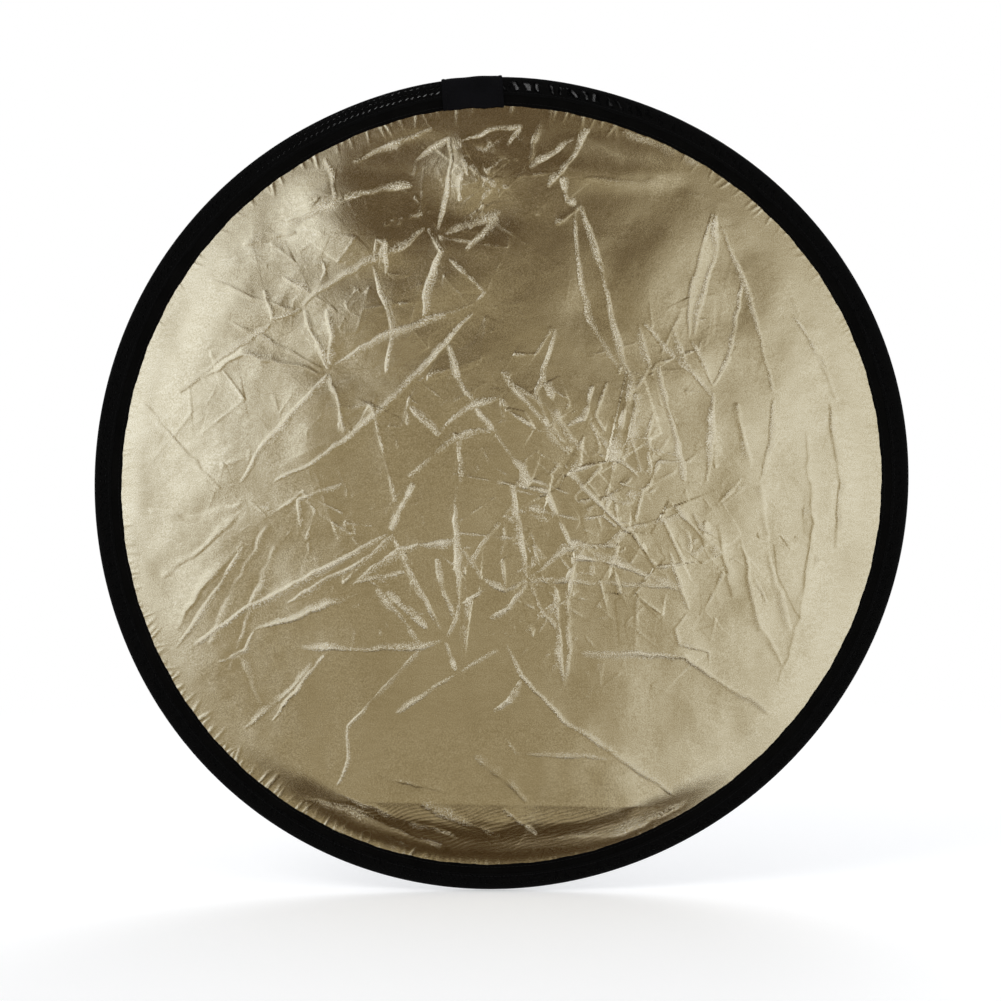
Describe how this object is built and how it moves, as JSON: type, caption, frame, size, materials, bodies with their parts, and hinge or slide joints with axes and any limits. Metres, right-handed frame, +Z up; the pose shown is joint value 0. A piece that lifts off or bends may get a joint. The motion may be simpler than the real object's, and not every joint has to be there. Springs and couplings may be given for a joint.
{
  "type": "collapsible reflector disc",
  "caption": "Round collapsible light reflector: gold and silver foil faces held taut by a flat spring-steel hoop in a dark sewn rim with a cloth tab, coiling up small.",
  "frame": {"origin": "centre of the disc, on the mid-plane between its two faces", "axes": "+Z up with the cloth tab at the top, -Y out of the gold face, +X to the right seen from the gold side"},
  "size_m": [0.5999, 0.009, 0.6006],
  "materials": {
    "gold_foil": "satin metallised cloth, creased",
    "silver_foil": "satin metallised cloth, creased",
    "black_tape": "matte woven tape",
    "black_mesh": "sheer net",
    "thread": "twisted polyester thread",
    "tab_cloth": "dense woven cloth",
    "spring_steel": "blued spring strip",
    "clip_steel": "plain pressed sheet"
  },
  "bodies": {
    "arc_01": {"hoop_01": "spring_steel", "hoop_clip": "clip_steel", "tab_cover": "tab_cloth", "tab_stitching": "thread"},
    "arc_02": {"hoop_02": "spring_steel"},
    "arc_03": {"hoop_03": "spring_steel"},
    "arc_04": {"hoop_04": "spring_steel"},
    "arc_05": {"hoop_05": "spring_steel"},
    "arc_06": {"hoop_06": "spring_steel"},
    "arc_07": {"hoop_07": "spring_steel"},
    "arc_08": {"hoop_08": "spring_steel"},
    "arc_09": {"hoop_09": "spring_steel"},
    "arc_10": {"hoop_10": "spring_steel"},
    "arc_11": {"hoop_11": "spring_steel"},
    "arc_12": {"hoop_12": "spring_steel", "gold_panel": "gold_foil", "silver_panel": "silver_foil", "edging_tape": "black_tape", "mesh_sleeve": "black_mesh", "seam_inner_front": "thread", "seam_inner_back": "thread", "seam_outer_front": "thread", "seam_outer_back": "thread"},
    "arc_13": {"hoop_13": "spring_steel"},
    "arc_14": {"hoop_14": "spring_steel"},
    "arc_15": {"hoop_15": "spring_steel"},
    "arc_16": {"hoop_16": "spring_steel"},
    "arc_17": {"hoop_17": "spring_steel"},
    "arc_18": {"hoop_18": "spring_steel"},
    "arc_19": {"hoop_19": "spring_steel"},
    "arc_20": {"hoop_20": "spring_steel"},
    "arc_21": {"hoop_21": "spring_steel"},
    "arc_22": {"hoop_22": "spring_steel"},
    "arc_23": {"hoop_23": "spring_steel"},
    "arc_24": {"hoop_24": "spring_steel"}
  },
  "joints": [
    {"name": "collapse", "type": "hinge", "parent": "arc_12", "child": "arc_13", "pos_m": [0.02068, 0, -0.29578], "axis": [0.0226, -0.9997, 0.0016], "range_deg": [0, 30], "stiffness_Nm_per_rad": 5, "deforming": ["gold_panel", "silver_panel", "edging_tape", "mesh_sleeve", "seam_inner_front", "seam_inner_back", "seam_outer_front", "seam_outer_back", "tab_cover", "tab_stitching"]},
    {"name": "bend_01", "type": "hinge", "parent": "arc_02", "child": "arc_01", "pos_m": [-0.09631, 0, 0.27928], "axis": [0.0215, 0.9997, 0.0074], "range_deg": [0, 30], "stiffness_Nm_per_rad": 5},
    {"name": "bend_02", "type": "hinge", "parent": "arc_03", "child": "arc_02", "pos_m": [-0.16545, 0, 0.2448], "axis": [0.0188, 0.9997, 0.0127], "range_deg": [0, 30], "stiffness_Nm_per_rad": 5},
    {"name": "bend_03", "type": "hinge", "parent": "arc_04", "child": "arc_03", "pos_m": [-0.22332, 0, 0.19361], "axis": [0.0149, 0.9997, 0.0171], "range_deg": [0, 30], "stiffness_Nm_per_rad": 5},
    {"name": "bend_04", "type": "hinge", "parent": "arc_05", "child": "arc_04", "pos_m": [-0.26596, 0, 0.12919], "axis": [0.0099, 0.9997, 0.0204], "range_deg": [0, 30], "stiffness_Nm_per_rad": 5},
    {"name": "bend_05", "type": "hinge", "parent": "arc_06", "child": "arc_05", "pos_m": [-0.29047, 0, 0.05592], "axis": [0.0043, 0.9997, 0.0223], "range_deg": [0, 30], "stiffness_Nm_per_rad": 5},
    {"name": "bend_06", "type": "hinge", "parent": "arc_07", "child": "arc_06", "pos_m": [-0.29519, 0, -0.02119], "axis": [-0.0016, 0.9997, 0.0226], "range_deg": [0, 30], "stiffness_Nm_per_rad": 5},
    {"name": "bend_07", "type": "hinge", "parent": "arc_08", "child": "arc_07", "pos_m": [-0.27979, 0, -0.0969], "axis": [-0.0074, 0.9997, 0.0215], "range_deg": [0, 30], "stiffness_Nm_per_rad": 5},
    {"name": "bend_08", "type": "hinge", "parent": "arc_09", "child": "arc_08", "pos_m": [-0.24532, 0, -0.16604], "axis": [-0.0127, 0.9997, 0.0188], "range_deg": [0, 30], "stiffness_Nm_per_rad": 5},
    {"name": "bend_09", "type": "hinge", "parent": "arc_10", "child": "arc_09", "pos_m": [-0.19412, 0, -0.2239], "axis": [-0.0171, 0.9997, 0.0149], "range_deg": [0, 30], "stiffness_Nm_per_rad": 5},
    {"name": "bend_10", "type": "hinge", "parent": "arc_11", "child": "arc_10", "pos_m": [-0.1297, 0, -0.26655], "axis": [-0.0204, 0.9997, 0.0099], "range_deg": [0, 30], "stiffness_Nm_per_rad": 5},
    {"name": "bend_11", "type": "hinge", "parent": "arc_12", "child": "arc_11", "pos_m": [-0.05643, 0, -0.29106], "axis": [-0.0223, 0.9997, 0.0043], "range_deg": [0, 30], "stiffness_Nm_per_rad": 5},
    {"name": "bend_13", "type": "hinge", "parent": "arc_13", "child": "arc_14", "pos_m": [0.09667, 0, -0.28032], "axis": [0.0215, -0.9997, 0.0074], "range_deg": [0, 30], "stiffness_Nm_per_rad": 5},
    {"name": "bend_14", "type": "hinge", "parent": "arc_14", "child": "arc_15", "pos_m": [0.16607, 0, -0.24572], "axis": [0.0188, -0.9997, 0.0127], "range_deg": [0, 30], "stiffness_Nm_per_rad": 5},
    {"name": "bend_15", "type": "hinge", "parent": "arc_15", "child": "arc_16", "pos_m": [0.22415, 0, -0.19433], "axis": [0.0149, -0.9997, 0.0171], "range_deg": [0, 30], "stiffness_Nm_per_rad": 5},
    {"name": "bend_16", "type": "hinge", "parent": "arc_16", "child": "arc_17", "pos_m": [0.26695, 0, -0.12967], "axis": [0.0099, -0.9997, 0.0204], "range_deg": [0, 30], "stiffness_Nm_per_rad": 5},
    {"name": "bend_17", "type": "hinge", "parent": "arc_17", "child": "arc_18", "pos_m": [0.29155, 0, -0.05613], "axis": [0.0043, -0.9997, 0.0223], "range_deg": [0, 30], "stiffness_Nm_per_rad": 5},
    {"name": "bend_18", "type": "hinge", "parent": "arc_18", "child": "arc_19", "pos_m": [0.29629, 0, 0.02127], "axis": [-0.0016, -0.9997, 0.0226], "range_deg": [0, 30], "stiffness_Nm_per_rad": 5},
    {"name": "bend_19", "type": "hinge", "parent": "arc_19", "child": "arc_20", "pos_m": [0.28083, 0, 0.09726], "axis": [-0.0074, -0.9997, 0.0215], "range_deg": [0, 30], "stiffness_Nm_per_rad": 5},
    {"name": "bend_20", "type": "hinge", "parent": "arc_20", "child": "arc_21", "pos_m": [0.24623, 0, 0.16666], "axis": [-0.0127, -0.9997, 0.0188], "range_deg": [0, 30], "stiffness_Nm_per_rad": 5},
    {"name": "bend_21", "type": "hinge", "parent": "arc_21", "child": "arc_22", "pos_m": [0.19484, 0, 0.22474], "axis": [-0.0171, -0.9997, 0.0149], "range_deg": [0, 30], "stiffness_Nm_per_rad": 5},
    {"name": "bend_22", "type": "hinge", "parent": "arc_22", "child": "arc_23", "pos_m": [0.13018, 0, 0.26754], "axis": [-0.0204, -0.9997, 0.0099], "range_deg": [0, 30], "stiffness_Nm_per_rad": 5},
    {"name": "bend_23", "type": "hinge", "parent": "arc_23", "child": "arc_24", "pos_m": [0.05664, 0, 0.29214], "axis": [-0.0223, -0.9997, 0.0043], "range_deg": [0, 30], "stiffness_Nm_per_rad": 5}
  ],
  "couplings": [
    {"joint": "bend_01", "follows": "collapse", "ratio": 1},
    {"joint": "bend_02", "follows": "collapse", "ratio": 1},
    {"joint": "bend_03", "follows": "collapse", "ratio": 1},
    {"joint": "bend_04", "follows": "collapse", "ratio": 1},
    {"joint": "bend_05", "follows": "collapse", "ratio": 1},
    {"joint": "bend_06", "follows": "collapse", "ratio": 1},
    {"joint": "bend_07", "follows": "collapse", "ratio": 1},
    {"joint": "bend_08", "follows": "collapse", "ratio": 1},
    {"joint": "bend_09", "follows": "collapse", "ratio": 1},
    {"joint": "bend_10", "follows": "collapse", "ratio": 1},
    {"joint": "bend_11", "follows": "collapse", "ratio": 1},
    {"joint": "bend_13", "follows": "collapse", "ratio": 1},
    {"joint": "bend_14", "follows": "collapse", "ratio": 1},
    {"joint": "bend_15", "follows": "collapse", "ratio": 1},
    {"joint": "bend_16", "follows": "collapse", "ratio": 1},
    {"joint": "bend_17", "follows": "collapse", "ratio": 1},
    {"joint": "bend_18", "follows": "collapse", "ratio": 1},
    {"joint": "bend_19", "follows": "collapse", "ratio": 1},
    {"joint": "bend_20", "follows": "collapse", "ratio": 1},
    {"joint": "bend_21", "follows": "collapse", "ratio": 1},
    {"joint": "bend_22", "follows": "collapse", "ratio": 1},
    {"joint": "bend_23", "follows": "collapse", "ratio": 1}
  ]
}
